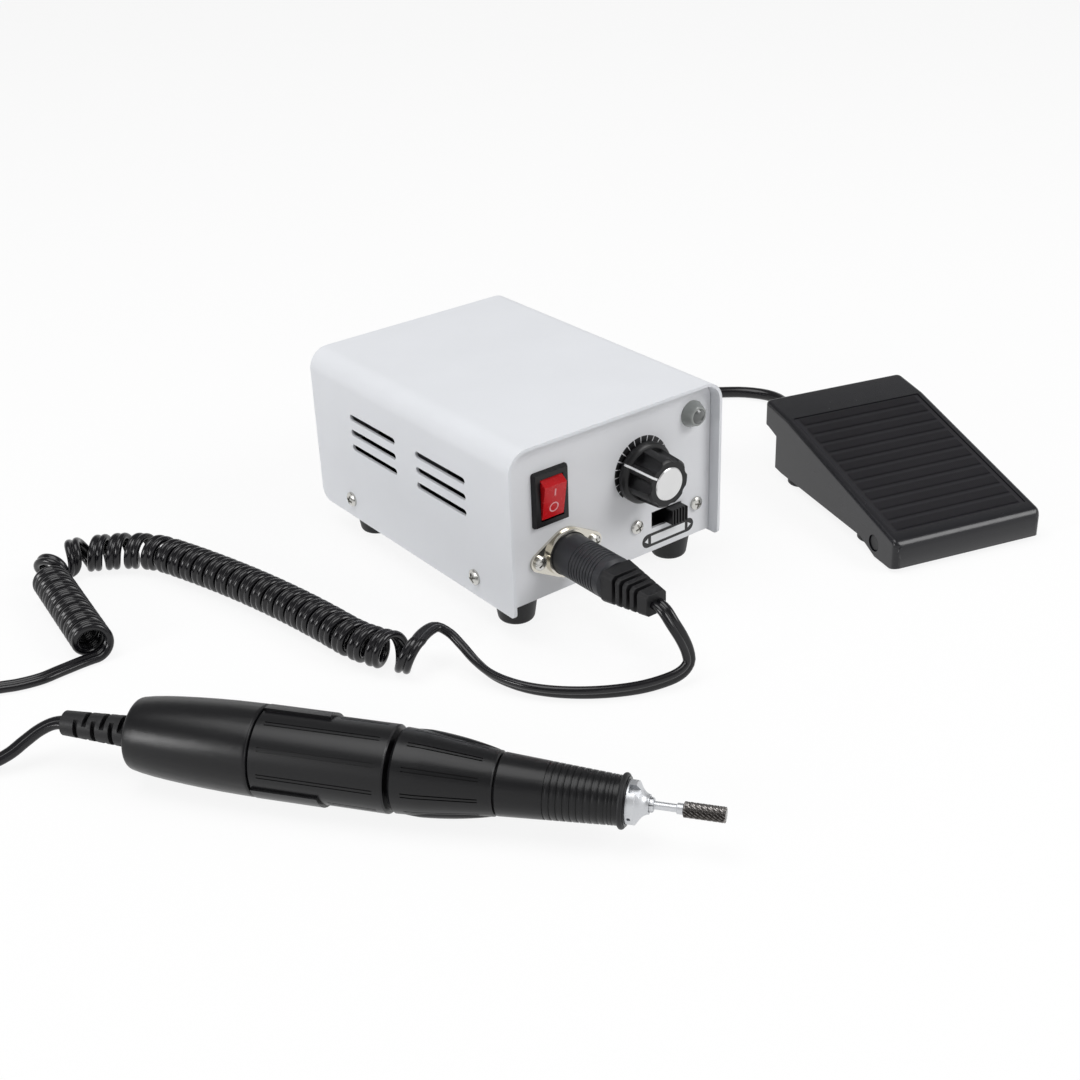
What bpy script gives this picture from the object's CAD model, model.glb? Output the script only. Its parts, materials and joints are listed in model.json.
"""Looks of a dental micromotor set: control box, handpiece on a curly twin lead, foot pedal.

Every piece is built in millimetres in the frame of the sub-assembly that carries it, and its
place is then written into its mesh in metres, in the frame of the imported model.
"""

from __future__ import annotations

import json
import logging
import math
from dataclasses import dataclass, field
from enum import Enum

import bmesh
import bpy
from mathutils import Matrix, Quaternion, Vector
from mathutils.geometry import interpolate_bezier

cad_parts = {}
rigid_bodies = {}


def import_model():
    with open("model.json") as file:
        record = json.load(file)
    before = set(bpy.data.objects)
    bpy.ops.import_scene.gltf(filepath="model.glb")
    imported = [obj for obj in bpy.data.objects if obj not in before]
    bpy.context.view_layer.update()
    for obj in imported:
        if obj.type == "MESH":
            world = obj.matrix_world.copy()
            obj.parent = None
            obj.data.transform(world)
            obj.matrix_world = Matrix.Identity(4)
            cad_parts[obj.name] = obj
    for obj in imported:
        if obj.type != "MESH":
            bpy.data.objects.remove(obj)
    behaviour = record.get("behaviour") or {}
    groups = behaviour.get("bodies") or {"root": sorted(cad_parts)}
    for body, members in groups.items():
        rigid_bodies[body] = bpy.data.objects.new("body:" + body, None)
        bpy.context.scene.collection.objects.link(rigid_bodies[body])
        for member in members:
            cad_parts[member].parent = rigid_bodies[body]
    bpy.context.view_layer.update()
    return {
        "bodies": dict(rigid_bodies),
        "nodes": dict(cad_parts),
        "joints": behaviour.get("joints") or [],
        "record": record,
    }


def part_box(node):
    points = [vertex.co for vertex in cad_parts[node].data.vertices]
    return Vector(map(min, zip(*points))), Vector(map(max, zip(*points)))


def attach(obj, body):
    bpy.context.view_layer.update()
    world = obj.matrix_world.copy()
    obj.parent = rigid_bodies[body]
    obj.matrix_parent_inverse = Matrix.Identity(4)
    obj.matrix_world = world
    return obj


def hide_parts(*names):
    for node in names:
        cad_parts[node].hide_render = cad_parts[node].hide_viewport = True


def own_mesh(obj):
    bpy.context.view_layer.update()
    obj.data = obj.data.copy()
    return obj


LOG = logging.getLogger("micromotor")
MM = 0.001
TINY = 1e-9
Point = tuple[float, float, float]
Pair = tuple[float, float]
Outline = list[Pair]


def linear(hex_colour: str) -> tuple[float, float, float, float]:
    """Turn an sRGB hex colour into linear values.

    Args:
        hex_colour: Six hex digits, red first.

    Returns:
        Linear red, green, blue and an alpha of 1.
    """
    parts = [int(hex_colour[i : i + 2], 16) / 255 for i in (0, 2, 4)]
    r, g, b = (c / 12.92 if c <= 0.04045 else ((c + 0.055) / 1.055) ** 2.4 for c in parts)
    return (r, g, b, 1.0)


def add_node(tree: bpy.types.NodeTree, kind: str, inputs: dict, **settings: object) -> bpy.types.Node:
    """Add a node with its settings, and link or set its inputs.

    Args:
        tree: Node tree that takes the node.
        kind: Blender's type name of the node.
        inputs: Values or output sockets, by the input's name or number.
        **settings: Properties of the node itself.

    Returns:
        The new node.
    """
    node = tree.nodes.new(kind)
    for key, value in settings.items():
        setattr(node, key, value)
    for key, value in inputs.items():
        if isinstance(value, bpy.types.NodeSocket):
            tree.links.new(value, node.inputs[key])
        else:
            node.inputs[key].default_value = value
    return node


def turned(degrees: float, axis: str) -> Matrix:
    """Return a turn about one axis."""
    return Matrix.Rotation(math.radians(degrees), 4, axis)


def shifted(x: float, y: float, z: float) -> Matrix:
    """Return a shift."""
    return Matrix.Translation((x, y, z))


def show(name: str, data: bpy.types.ID) -> bpy.types.Object:
    """Make an object of some data and put it into the scene.

    Args:
        name: Name of the object.
        data: Its mesh, curve, camera or lamp.

    Returns:
        The object.
    """
    made = bpy.data.objects.new(name, data)
    bpy.context.scene.collection.objects.link(made)
    return made


def verts_in(made: dict) -> list[bmesh.types.BMVert]:
    """Return the vertices among what a bmesh operator made."""
    return [g for g in made["geom"] if isinstance(g, bmesh.types.BMVert)]


class Frames:
    """Places of the sub-assemblies on the bench, in millimetres.

    Attributes:
        BOX: The control box, from the middle of its front edge, at the top of its feet.
        HAND: The handpiece, from its rear end, with Z along it.
        PEDAL: The pedal, from the middle of its front edge, with Y to its rear.
        PANEL_Y: Face of the front panel on the box.
        REAR_Y: Face of the rear panel on the box.
        SIDE_X: Face of a side wall, from the box's middle.
        KNOB: The speed knob's axis on the front panel.
        PIVOT: The treadle's axis on the pedal, as its Y and Z.
    """

    BOX = shifted(8.0, -2.0, 10.9)
    HAND = shifted(-171.4, 15.1, 14.1) @ turned(-53.15, "Z") @ turned(90, "Y")
    PEDAL = shifted(125.1, -63.2, 0.0) @ turned(-16, "Z")
    PANEL_Y = 4.8
    REAR_Y = 121.2
    SIDE_X = 48.0
    KNOB = (13.7, 34.4)
    PIVOT = (14.5, 6.1)

    @staticmethod
    def panel(x: float, z: float) -> Matrix:
        """Frame on the front panel, with Z out of the panel and Y up."""
        return Frames.BOX @ shifted(x, Frames.PANEL_Y, z) @ turned(90, "X")

    @staticmethod
    def rear(x: float, z: float) -> Matrix:
        """Frame on the rear panel, with Z out of the panel and Y up."""
        return Frames.BOX @ shifted(x, Frames.REAR_Y, z) @ turned(180, "Z") @ turned(90, "X")

    @staticmethod
    def side(sign: int, y: float, z: float) -> Matrix:
        """Frame on a side wall of the cover, with Z out of the wall."""
        return Frames.BOX @ shifted(Frames.SIDE_X * sign, y, z) @ turned(90 * sign, "Y")


class Grain(Enum):
    """How a surface was made, which sets the pattern of its finish."""

    SPRAYED = "sprayed"
    MOULDED = "moulded"
    TURNED = "turned"
    FACED = "faced"
    STACKED = "stacked"
    WOUND = "wound"


@dataclass(frozen=True)
class Finish:
    """One surface finish.

    Attributes:
        name: Common name of the material and how its surface was made.
        slot: The record's material slot.
        colour: Its colour as sRGB hex.
        grain: How the surface was made.
        pitch: Real size of the pattern, in millimetres.
        depth: Height of the pattern, in millimetres.
        roughness: Middle roughness.
        spread: How far the roughness varies either way.
        metallic: 1 for bare metal, or else 0.
        mottle: Share by which the colour varies over a hand's width.
        ior: Index of refraction of a surface that isn't bare metal.
        coat: Weight of a clear coat.
        coat_roughness: Roughness of that coat.
        cloud: Real size of the soft clouds of colour, in millimetres.
        frame: Frame that the pattern follows, in millimetres.
    """

    name: str
    slot: str
    colour: str
    grain: Grain
    pitch: float
    depth: float
    roughness: float
    spread: float = 0.05
    metallic: float = 0.0
    mottle: float = 0.06
    ior: float = 1.5
    coat: float = 0.0
    coat_roughness: float = 0.06
    cloud: float = 22.222
    frame: Matrix = field(default_factory=Matrix, compare=False)

    def material(self) -> bpy.types.Material:
        """Make the finish's material, or find it if it was made before.

        Returns:
            The material.
        """
        made = bpy.data.materials.get(self.name)
        if made is not None:
            return made
        made = bpy.data.materials.new(self.name)
        made.use_nodes = True
        tree = made.node_tree
        shader = tree.nodes["Principled BSDF"]
        place = self._place(tree)
        height = self._height(tree, place)
        shader.inputs["Metallic"].default_value = self.metallic
        shader.inputs["Coat Weight"].default_value = self.coat
        shader.inputs["Coat Roughness"].default_value = self.coat_roughness
        if not self.metallic:
            shader.inputs["IOR"].default_value = self.ior
        self._colour(tree, shader, place)
        self._roughness(tree, shader, height)
        bump = add_node(
            tree,
            "ShaderNodeBump",
            {"Strength": 1.0, "Distance": self.depth * MM, "Height": height},
        )
        tree.links.new(bump.outputs["Normal"], shader.inputs["Normal"])
        return made

    def _place(self, tree: bpy.types.NodeTree) -> bpy.types.NodeSocket:
        """Read object coordinates in the finish's own frame.

        Args:
            tree: Node tree of the material.

        Returns:
            The coordinates, in metres.
        """
        where = tree.nodes.new("ShaderNodeTexCoord").outputs["Object"]
        turn = self.frame.to_euler("XYZ")
        mapping = add_node(
            tree,
            "ShaderNodeMapping",
            {"Vector": where, "Location": self.frame.to_translation() * MM, "Rotation": turn},
            vector_type="TEXTURE",
        )
        return mapping.outputs["Vector"]

    def _height(self, tree: bpy.types.NodeTree, place: bpy.types.NodeSocket) -> bpy.types.NodeSocket:
        """Draw the surface's pattern.

        Args:
            tree: Node tree of the material.
            place: Coordinates that the pattern follows.

        Returns:
            The height of the pattern, about 0 to 1.
        """
        per_metre = 1 / (self.pitch * MM)
        details = {Grain.SPRAYED: 2.0, Grain.MOULDED: 5.0}
        if self.grain in details:
            detail = details[self.grain]
            noise = {"Vector": place, "Scale": per_metre, "Detail": detail, "Roughness": 0.6}
            return add_node(tree, "ShaderNodeTexNoise", noise).outputs["Fac"]
        waves = {"Vector": place, "Scale": per_metre / math.pi}
        if self.grain is Grain.FACED:
            shape = {"wave_type": "RINGS", "rings_direction": "Z"}
        else:
            axis = "Y" if self.grain is Grain.STACKED else "Z"
            shape = {"wave_type": "BANDS", "bands_direction": axis}
        return add_node(tree, "ShaderNodeTexWave", waves, **shape).outputs["Fac"]

    def _colour(
        self, tree: bpy.types.NodeTree, shader: bpy.types.Node, place: bpy.types.NodeSocket
    ) -> None:
        """Vary the colour softly over the surface.

        Args:
            tree: Node tree of the material.
            shader: Shader that takes the colour.
            place: Coordinates that the clouds follow.
        """
        r, g, b, _ = linear(self.colour)
        low, high = 1 - self.mottle, 1 + self.mottle
        clouds = {"Vector": place, "Scale": 1 / (self.cloud * MM), "Detail": 4.0}
        noise = add_node(tree, "ShaderNodeTexNoise", clouds)
        ramp = add_node(tree, "ShaderNodeValToRGB", {"Fac": noise.outputs["Fac"]})
        for stop, position, share in zip(ramp.color_ramp.elements, (0.3, 0.7), (low, high)):
            stop.position = position
            stop.color = (r * share, g * share, b * share, 1)
        tree.links.new(ramp.outputs["Color"], shader.inputs["Base Color"])

    def _roughness(
        self, tree: bpy.types.NodeTree, shader: bpy.types.Node, height: bpy.types.NodeSocket
    ) -> None:
        """Let the roughness follow the pattern.

        Args:
            tree: Node tree of the material.
            shader: Shader that takes the roughness.
            height: Height of the pattern.
        """
        spread = add_node(
            tree,
            "ShaderNodeMapRange",
            {
                "Value": height,
                "From Min": 0.2,
                "From Max": 0.8,
                "To Min": max(0.02, self.roughness - self.spread),
                "To Max": min(1.0, self.roughness + self.spread),
            },
        )
        tree.links.new(spread.outputs["Result"], shader.inputs["Roughness"])


class Finishes:
    """The finishes of the set, each named for its material and how it was made."""

    # Polyester powder on steel: satin, with the faint orange peel of a baked coat
    POWDER = Finish(
        "white_powder_coat_baked", "white_powder_coat", "dfe1e5",
        Grain.SPRAYED, 0.9, 0.012, 0.5, ior=1.4, mottle=0.012,
    )
    PANEL = Finish(
        "white_powder_coat_panel", "panel_powder_coat", "e0e1e4",
        Grain.SPRAYED, 0.9, 0.012, 0.5, ior=1.4, mottle=0.012,
    )
    # Moulded rubber: matte and near black, with a fine tooth from the mould
    RUBBER = Finish(
        "black_rubber_moulded", "black_rubber", "161618", Grain.MOULDED, 0.5, 0.02, 0.5, ior=1.4
    )
    TREAD = Finish(
        "tread_rubber_moulded", "tread_rubber", "232226", Grain.MOULDED, 0.4, 0.02, 0.58, ior=1.4
    )
    # Zinc plate: pale and slightly cloudy
    ZINC = Finish(
        "zinc_plated_steel", "zinc_steel", "c9c8c4", Grain.MOULDED, 0.4, 0.004, 0.26, metallic=1.0
    )
    # Ground steel: fine lines round the axis that spread the light along it
    GROUND = Finish(
        "ground_steel", "ground_steel", "c8c3bc",
        Grain.TURNED, 0.25, 0.0015, 0.36, metallic=1.0, frame=Frames.HAND,
    )
    # Black oxide on the pedal's pin: dull and dark, with little shine
    OXIDE = Finish(
        "black_oxide_steel", "ground_steel", "1a1a1c", Grain.MOULDED, 0.5, 0.01, 0.42, ior=1.4
    )
    # Nickel plate: warm and bright, with soft waves from the bath
    NICKEL = Finish(
        "bright_nickel_plate", "nickel_steel", "d0ccc2", Grain.MOULDED, 1.2, 0.004, 0.16, metallic=1.0
    )
    # Sintered carbide with ground teeth: dark metal with bright edges
    CARBIDE = Finish(
        "tungsten_carbide_ground", "carbide", "7b7876", Grain.MOULDED, 0.3, 0.006, 0.28, metallic=1.0
    )
    # Varnished iron sheets in a stack: dark, with fine lines across
    LAMINATED = Finish(
        "varnished_laminations", "laminated_iron", "4d4f55", Grain.STACKED, 0.5, 0.08, 0.45
    )
    # Sintered ferrite: flat dark grey with almost no shine
    FERRITE = Finish("sintered_ferrite", "ferrite", "38393c", Grain.MOULDED, 0.4, 0.02, 0.7)
    # Enamelled copper: red-brown and shiny, in close lines
    COPPER = Finish("enamelled_copper_wound", "copper", "a05a26", Grain.WOUND, 0.6, 0.15, 0.3)
    # Solder mask on laminate: smooth green, slightly uneven
    BOARD = Finish("solder_mask_board", "board_laminate", "1f5a37", Grain.MOULDED, 1.4, 0.02, 0.35)
    # Pressed carbon: soft black without shine
    CARBON = Finish("pressed_carbon", "carbon", "222222", Grain.MOULDED, 0.3, 0.02, 0.75)
    # Moulded phenolic: dark brown with a low gloss
    PHENOLIC = Finish("moulded_phenolic", "phenolic", "3a2619", Grain.MOULDED, 0.8, 0.01, 0.4)
    # Nylon and ABS from a spark-eroded mould: satin black with a fine tooth
    PLASTIC = Finish(
        "black_abs_moulded", "black_plastic", "0f0f11", Grain.MOULDED, 0.35, 0.012, 0.34, ior=1.4
    )
    # Soft vinyl of the plug: matte and a little paler than the hard plastics
    VINYL = Finish(
        "black_vinyl_moulded", "black_plastic", "2a2b2f", Grain.MOULDED, 0.4, 0.015, 0.44, ior=1.42
    )
    # The pedal's ABS: smooth, so that its rounded edges catch the light. The mould's tooth is too
    # fine to show, so it is drawn as soft waves of 4 mm
    ENAMEL = Finish(
        "black_pedal_abs_moulded", "pedal_enamel", "18181c", Grain.MOULDED, 4.0, 0.004, 0.24, ior=1.45
    )
    # Coloured polycarbonate: clear red with a smooth, shiny skin
    RED = Finish(
        "red_polycarbonate_moulded", "red_plastic", "c0121a", Grain.MOULDED, 2.0, 0.006, 0.26, ior=1.36
    )
    # Plated sheet of the speed control: grey and slightly cloudy
    PLATED = Finish(
        "plated_control_case", "plated_case", "9b9da1", Grain.MOULDED, 0.6, 0.01, 0.35, metallic=1.0
    )
    # Faced aluminium: rings of the turning tool, which show as a fan of light
    ALUMINIUM = Finish(
        "turned_aluminium_face", "knob_aluminium", "dcdcdc",
        Grain.FACED, 0.35, 0.006, 0.28, metallic=1.0, frame=Frames.panel(*Frames.KNOB),
    )
    # Moulded lamp plastic: grey and glassy, darker in the lens
    LAMP = Finish("clear_lamp_holder_moulded", "lamp_plastic", "8f9290", Grain.MOULDED, 1.5, 0.006, 0.22)
    LENS = Finish(
        "grey_lamp_lens_moulded", "lamp_plastic", "5d5f5e", Grain.MOULDED, 1.5, 0.006, 0.15, coat=0.4
    )
    # Black anodised aluminium, bead blasted: dark satin whose highlights spread along the barrel
    ANODISED = Finish(
        "black_anodised_bead_blast", "black_anodised", "0f0f11",
        Grain.MOULDED, 0.3, 0.004, 0.31, ior=1.38,
    )
    # Vinyl sheath: smooth and shiny. The extruder's waviness is too fine to show, so it is drawn
    # as waves of 3 mm
    SHEATH = Finish(
        "vinyl_cord_sheath", "cord_sheath", "0e0d11", Grain.MOULDED, 3.0, 0.004, 0.2, ior=1.45
    )
    # Screen-printed ink and filled engraving: flat, matte and a little uneven
    INK_BLACK = Finish(
        "screen_print_black", "panel_powder_coat", "141416", Grain.MOULDED, 0.4, 0.004, 0.5
    )
    INK_WHITE = Finish(
        "screen_print_white", "panel_powder_coat", "e4e5e7",
        Grain.MOULDED, 0.4, 0.004, 0.5, mottle=0.02,
    )
    PAINT_PINK = Finish("pad_printed_mark", "red_plastic", "e2a9ad", Grain.MOULDED, 0.4, 0.004, 0.45)
    PAINT_WHITE = Finish(
        "filled_pointer_line", "black_plastic", "e6e7e8", Grain.MOULDED, 0.4, 0.004, 0.5
    )

    NODES = (
        (POWDER, ["cover"]),
        (PANEL, ["chassis"]),
        (RUBBER, ["rubber_feet", "plug_boot", "handpiece_boot", "nose_seal"]),
        (RUBBER, ["pedal_feet", "pedal_boot"]),
        (TREAD, ["pedal_tread"]),
        (ZINC, ["foot_screws"]),
        (OXIDE, ["pedal_pivot"]),
        (GROUND, ["nose_cap", "spindle", "collet", "motor_shaft", "ball_bearings", "release_ring"]),
        (NICKEL, ["handpiece_socket", "control_shaft"]),
        (CARBIDE, ["bur"]),
        (LAMINATED, ["transformer_core", "armature_core"]),
        (FERRITE, ["motor_magnets"]),
        (COPPER, ["transformer_winding", "commutator"]),
        (BOARD, ["circuit_board"]),
        (CARBON, ["brushes"]),
        (PHENOLIC, ["brush_holder"]),
        (PLASTIC, ["fuse_holder", "mains_inlet", "pedal_jack", "power_switch", "speed_knob"]),
        (PLASTIC, ["direction_switch", "direction_slider", "handpiece_plug"]),
        (PLASTIC, ["pedal_microswitch", "pedal_plug"]),
        (ENAMEL, ["pedal_base", "pedal_treadle"]),
        (RED, ["power_rocker", "pedal_plunger"]),
        (PLATED, ["speed_control"]),
        (ALUMINIUM, ["knob_cap"]),
        (LAMP, ["pilot_lamp"]),
        (LENS, ["pilot_lens"]),
        (ANODISED, ["rear_cap", "motor_case", "chuck_sleeve", "nose_housing"]),
    )

    @classmethod
    def dress(cls, nodes: dict[str, bpy.types.Object]) -> None:
        """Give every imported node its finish.

        Args:
            nodes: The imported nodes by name.
        """
        for finish, names in cls.NODES:
            material = finish.material()
            for name in names:
                nodes[name].data.materials.clear()
                nodes[name].data.materials.append(material)
                LOG.info("dressed %s", name)


class Solid:
    """A mesh under construction, in millimetres in its own frame.

    Attributes:
        SEAM: Distance under which the ends of a full turn merge.
        MERGE: Distance under which a finished piece's points merge.
        WELD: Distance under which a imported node's seams merge.
        FLAT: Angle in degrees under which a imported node's neighbouring faces become one.
    """

    SEAM = 1e-5
    MERGE = 1e-4
    WELD = 0.002
    FLAT = 0.6

    def __init__(self) -> None:
        """Start with an empty mesh."""
        self.bm = bmesh.new()

    @classmethod
    def copy_of(cls, node: bpy.types.Object) -> Solid:
        """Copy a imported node, with its seams merged and its flat faces whole.

        Args:
            node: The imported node.

        Returns:
            The copy, in the bench's frame.
        """
        made = cls()
        made.bm.from_mesh(node.data)
        made.scale(1 / MM)
        bmesh.ops.remove_doubles(made.bm, verts=made.bm.verts, dist=cls.WELD)
        flat = math.radians(cls.FLAT)
        bmesh.ops.dissolve_limit(made.bm, angle_limit=flat, verts=made.bm.verts, edges=made.bm.edges)
        return made

    def scale(self, factor: float) -> None:
        """Scale the mesh about the origin."""
        bmesh.ops.scale(self.bm, vec=(factor, factor, factor), verts=self.bm.verts)

    def turn(self, outline: Outline, steps: int = 48) -> None:
        """Spin an outline of radius and height once round Z.

        Args:
            outline: Radius and height of each corner.
            steps: Facets round the turn.
        """
        verts = [self.bm.verts.new((r, 0, z)) for r, z in outline]
        edges = [self.bm.edges.new(pair) for pair in zip(verts, verts[1:])]
        bmesh.ops.spin(
            self.bm,
            geom=verts + edges,
            cent=(0, 0, 0),
            axis=(0, 0, 1),
            angle=math.tau,
            steps=steps,
            use_merge=True,
        )
        bmesh.ops.remove_doubles(self.bm, verts=self.bm.verts, dist=self.SEAM)

    def prism(self, outline: Outline, low: float, high: float) -> None:
        """Extrude a flat outline along Z.

        Args:
            outline: Corners in order.
            low: Height of the first face.
            high: Height of the second face.
        """
        face = self.bm.faces.new([self.bm.verts.new((x, y, low)) for x, y in outline])
        made = bmesh.ops.extrude_face_region(self.bm, geom=[face], use_keep_orig=True)
        bmesh.ops.translate(self.bm, verts=verts_in(made), vec=(0, 0, high - low))

    def bevel(self, edges: list, width: float, segments: int = 2, clamp: bool = True) -> None:
        """Round edges off.

        Args:
            edges: Edges to round.
            width: Width of the rounding.
            segments: Facets across it.
            clamp: Whether small faces nearby keep the rounding narrow.
        """
        bmesh.ops.bevel(
            self.bm,
            geom=edges,
            offset=width,
            offset_type="OFFSET",
            segments=segments,
            profile=0.5,
            affect="EDGES",
            material=-1,
            clamp_overlap=clamp,
        )

    def sharp_edges(self, angle: float) -> list:
        """Return the edges that turn by more than an angle in degrees."""
        limit = math.radians(angle)
        return [e for e in self.bm.edges if e.is_manifold and e.calc_face_angle(0.0) > limit]

    def place(self, frame: Matrix) -> None:
        """Move the mesh into the frame of another."""
        bmesh.ops.transform(self.bm, matrix=frame, verts=self.bm.verts)

    def take(self, other: Solid) -> None:
        """Add another mesh to this one and drop the other.

        Args:
            other: The mesh to add.
        """
        mesh = bpy.data.meshes.new("part")
        other.bm.to_mesh(mesh)
        other.bm.free()
        self.bm.from_mesh(mesh)
        bpy.data.meshes.remove(mesh)

    def cut(self, tool: Solid) -> None:
        """Take another closed mesh away from this one, and drop the other.

        Args:
            tool: The mesh to take away.
        """
        holders = []
        for bm in (self.bm, tool.bm):
            bmesh.ops.recalc_face_normals(bm, faces=bm.faces)
            mesh = bpy.data.meshes.new("cut")
            bm.to_mesh(mesh)
            bm.free()
            holders.append(show("cut", mesh))
        step = holders[0].modifiers.new("cut", "BOOLEAN")
        step.operation = "DIFFERENCE"
        step.solver = "EXACT"
        step.object = holders[1]
        shaped = holders[0].evaluated_get(bpy.context.evaluated_depsgraph_get())
        self.bm = bmesh.new()
        self.bm.from_mesh(shaped.to_mesh())
        shaped.to_mesh_clear()
        for holder in holders:
            bpy.data.meshes.remove(holder.data)

    def placed(self, frame: Matrix) -> Solid:
        """Copy the mesh into the frame of another.

        Args:
            frame: That frame.

        Returns:
            The copy.
        """
        made = Solid()
        made.bm.free()
        made.bm = self.bm.copy()
        made.place(frame)
        return made

    def mesh(self, name: str) -> bpy.types.Mesh:
        """Finish the mesh in metres: merged, facing outwards and smooth.

        Args:
            name: Name of the mesh.

        Returns:
            The finished mesh.
        """
        bmesh.ops.remove_doubles(self.bm, verts=self.bm.verts, dist=self.MERGE)
        bmesh.ops.recalc_face_normals(self.bm, faces=self.bm.faces)
        self.scale(MM)
        made = bpy.data.meshes.new(name)
        self.bm.to_mesh(made)
        self.bm.free()
        made.shade_smooth()
        return made

    def piece(
        self,
        name: str,
        body: str,
        finish: Finish,
        replaces: tuple[str, ...] = (),
        smooth: float = 35,
        flat: bool = False,
    ) -> bpy.types.Object:
        """Turn the mesh, in the bench's frame, into a piece of the model.

        Args:
            name: Name of the piece.
            body: Body that it rides on.
            finish: Its finish.
            replaces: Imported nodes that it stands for.
            smooth: Angle in degrees under which edges shade smooth.
            flat: Whether its large faces shade flat beside rounded edges.

        Returns:
            The piece.
        """
        mesh = self.mesh(name)
        mesh.set_sharp_from_angle(angle=math.radians(smooth))
        mesh.materials.append(finish.material())
        made = show(name, mesh)
        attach(made, body)
        if replaces:
            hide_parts(*replaces)
        if flat:
            made.modifiers.new("flat_faces", "WEIGHTED_NORMAL").keep_sharp = True
        LOG.info("built %s", name)
        return made


def arc(radius: float, start: float, end: float, steps: int) -> Outline:
    """Return points on a circle, from one angle in degrees to another."""
    angles = [math.radians(start + (end - start) * i / steps) for i in range(steps + 1)]
    return [(radius * math.cos(a), radius * math.sin(a)) for a in angles]


def stadium(width: float, height: float, steps: int = 12) -> Outline:
    """Draw a bar with round ends, about the origin.

    Args:
        width: Its width.
        height: Its height.
        steps: Facets round each end.

    Returns:
        Its corners in order.
    """
    r = height / 2
    reach = width / 2 - r
    right = [(x + reach, y) for x, y in arc(r, -90, 90, steps)]
    left = [(x - reach, y) for x, y in arc(r, 90, 270, steps)]
    return right + left


def rectangle(x0: float, y0: float, x1: float, y1: float) -> Outline:
    """Return a rectangle by two opposite corners."""
    return [(x0, y0), (x1, y0), (x1, y1), (x0, y1)]


def smooth_route(points: list[Vector], first: Vector, last: Vector, step: float) -> list[Vector]:
    """Lay a smooth curve through points.

    Args:
        points: Points in order.
        first: Direction at the first point.
        last: Direction at the last point.
        step: Distance between the curve's points.

    Returns:
        Points of the curve.
    """
    slopes = [(b - a) / 2 for a, b in zip(points, points[2:])]
    slopes = [
        first.normalized() * (points[1] - points[0]).length,
        *slopes,
        last.normalized() * (points[-1] - points[-2]).length,
    ]
    route: list[Vector] = []
    for (a, b), (u, v) in zip(zip(points, points[1:]), zip(slopes, slopes[1:])):
        count = max(3, round((b - a).length / step) + 1)
        route += interpolate_bezier(a, a + u / 3, b - v / 3, b, count)[:-1]
    return [*route, points[-1]]


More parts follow.
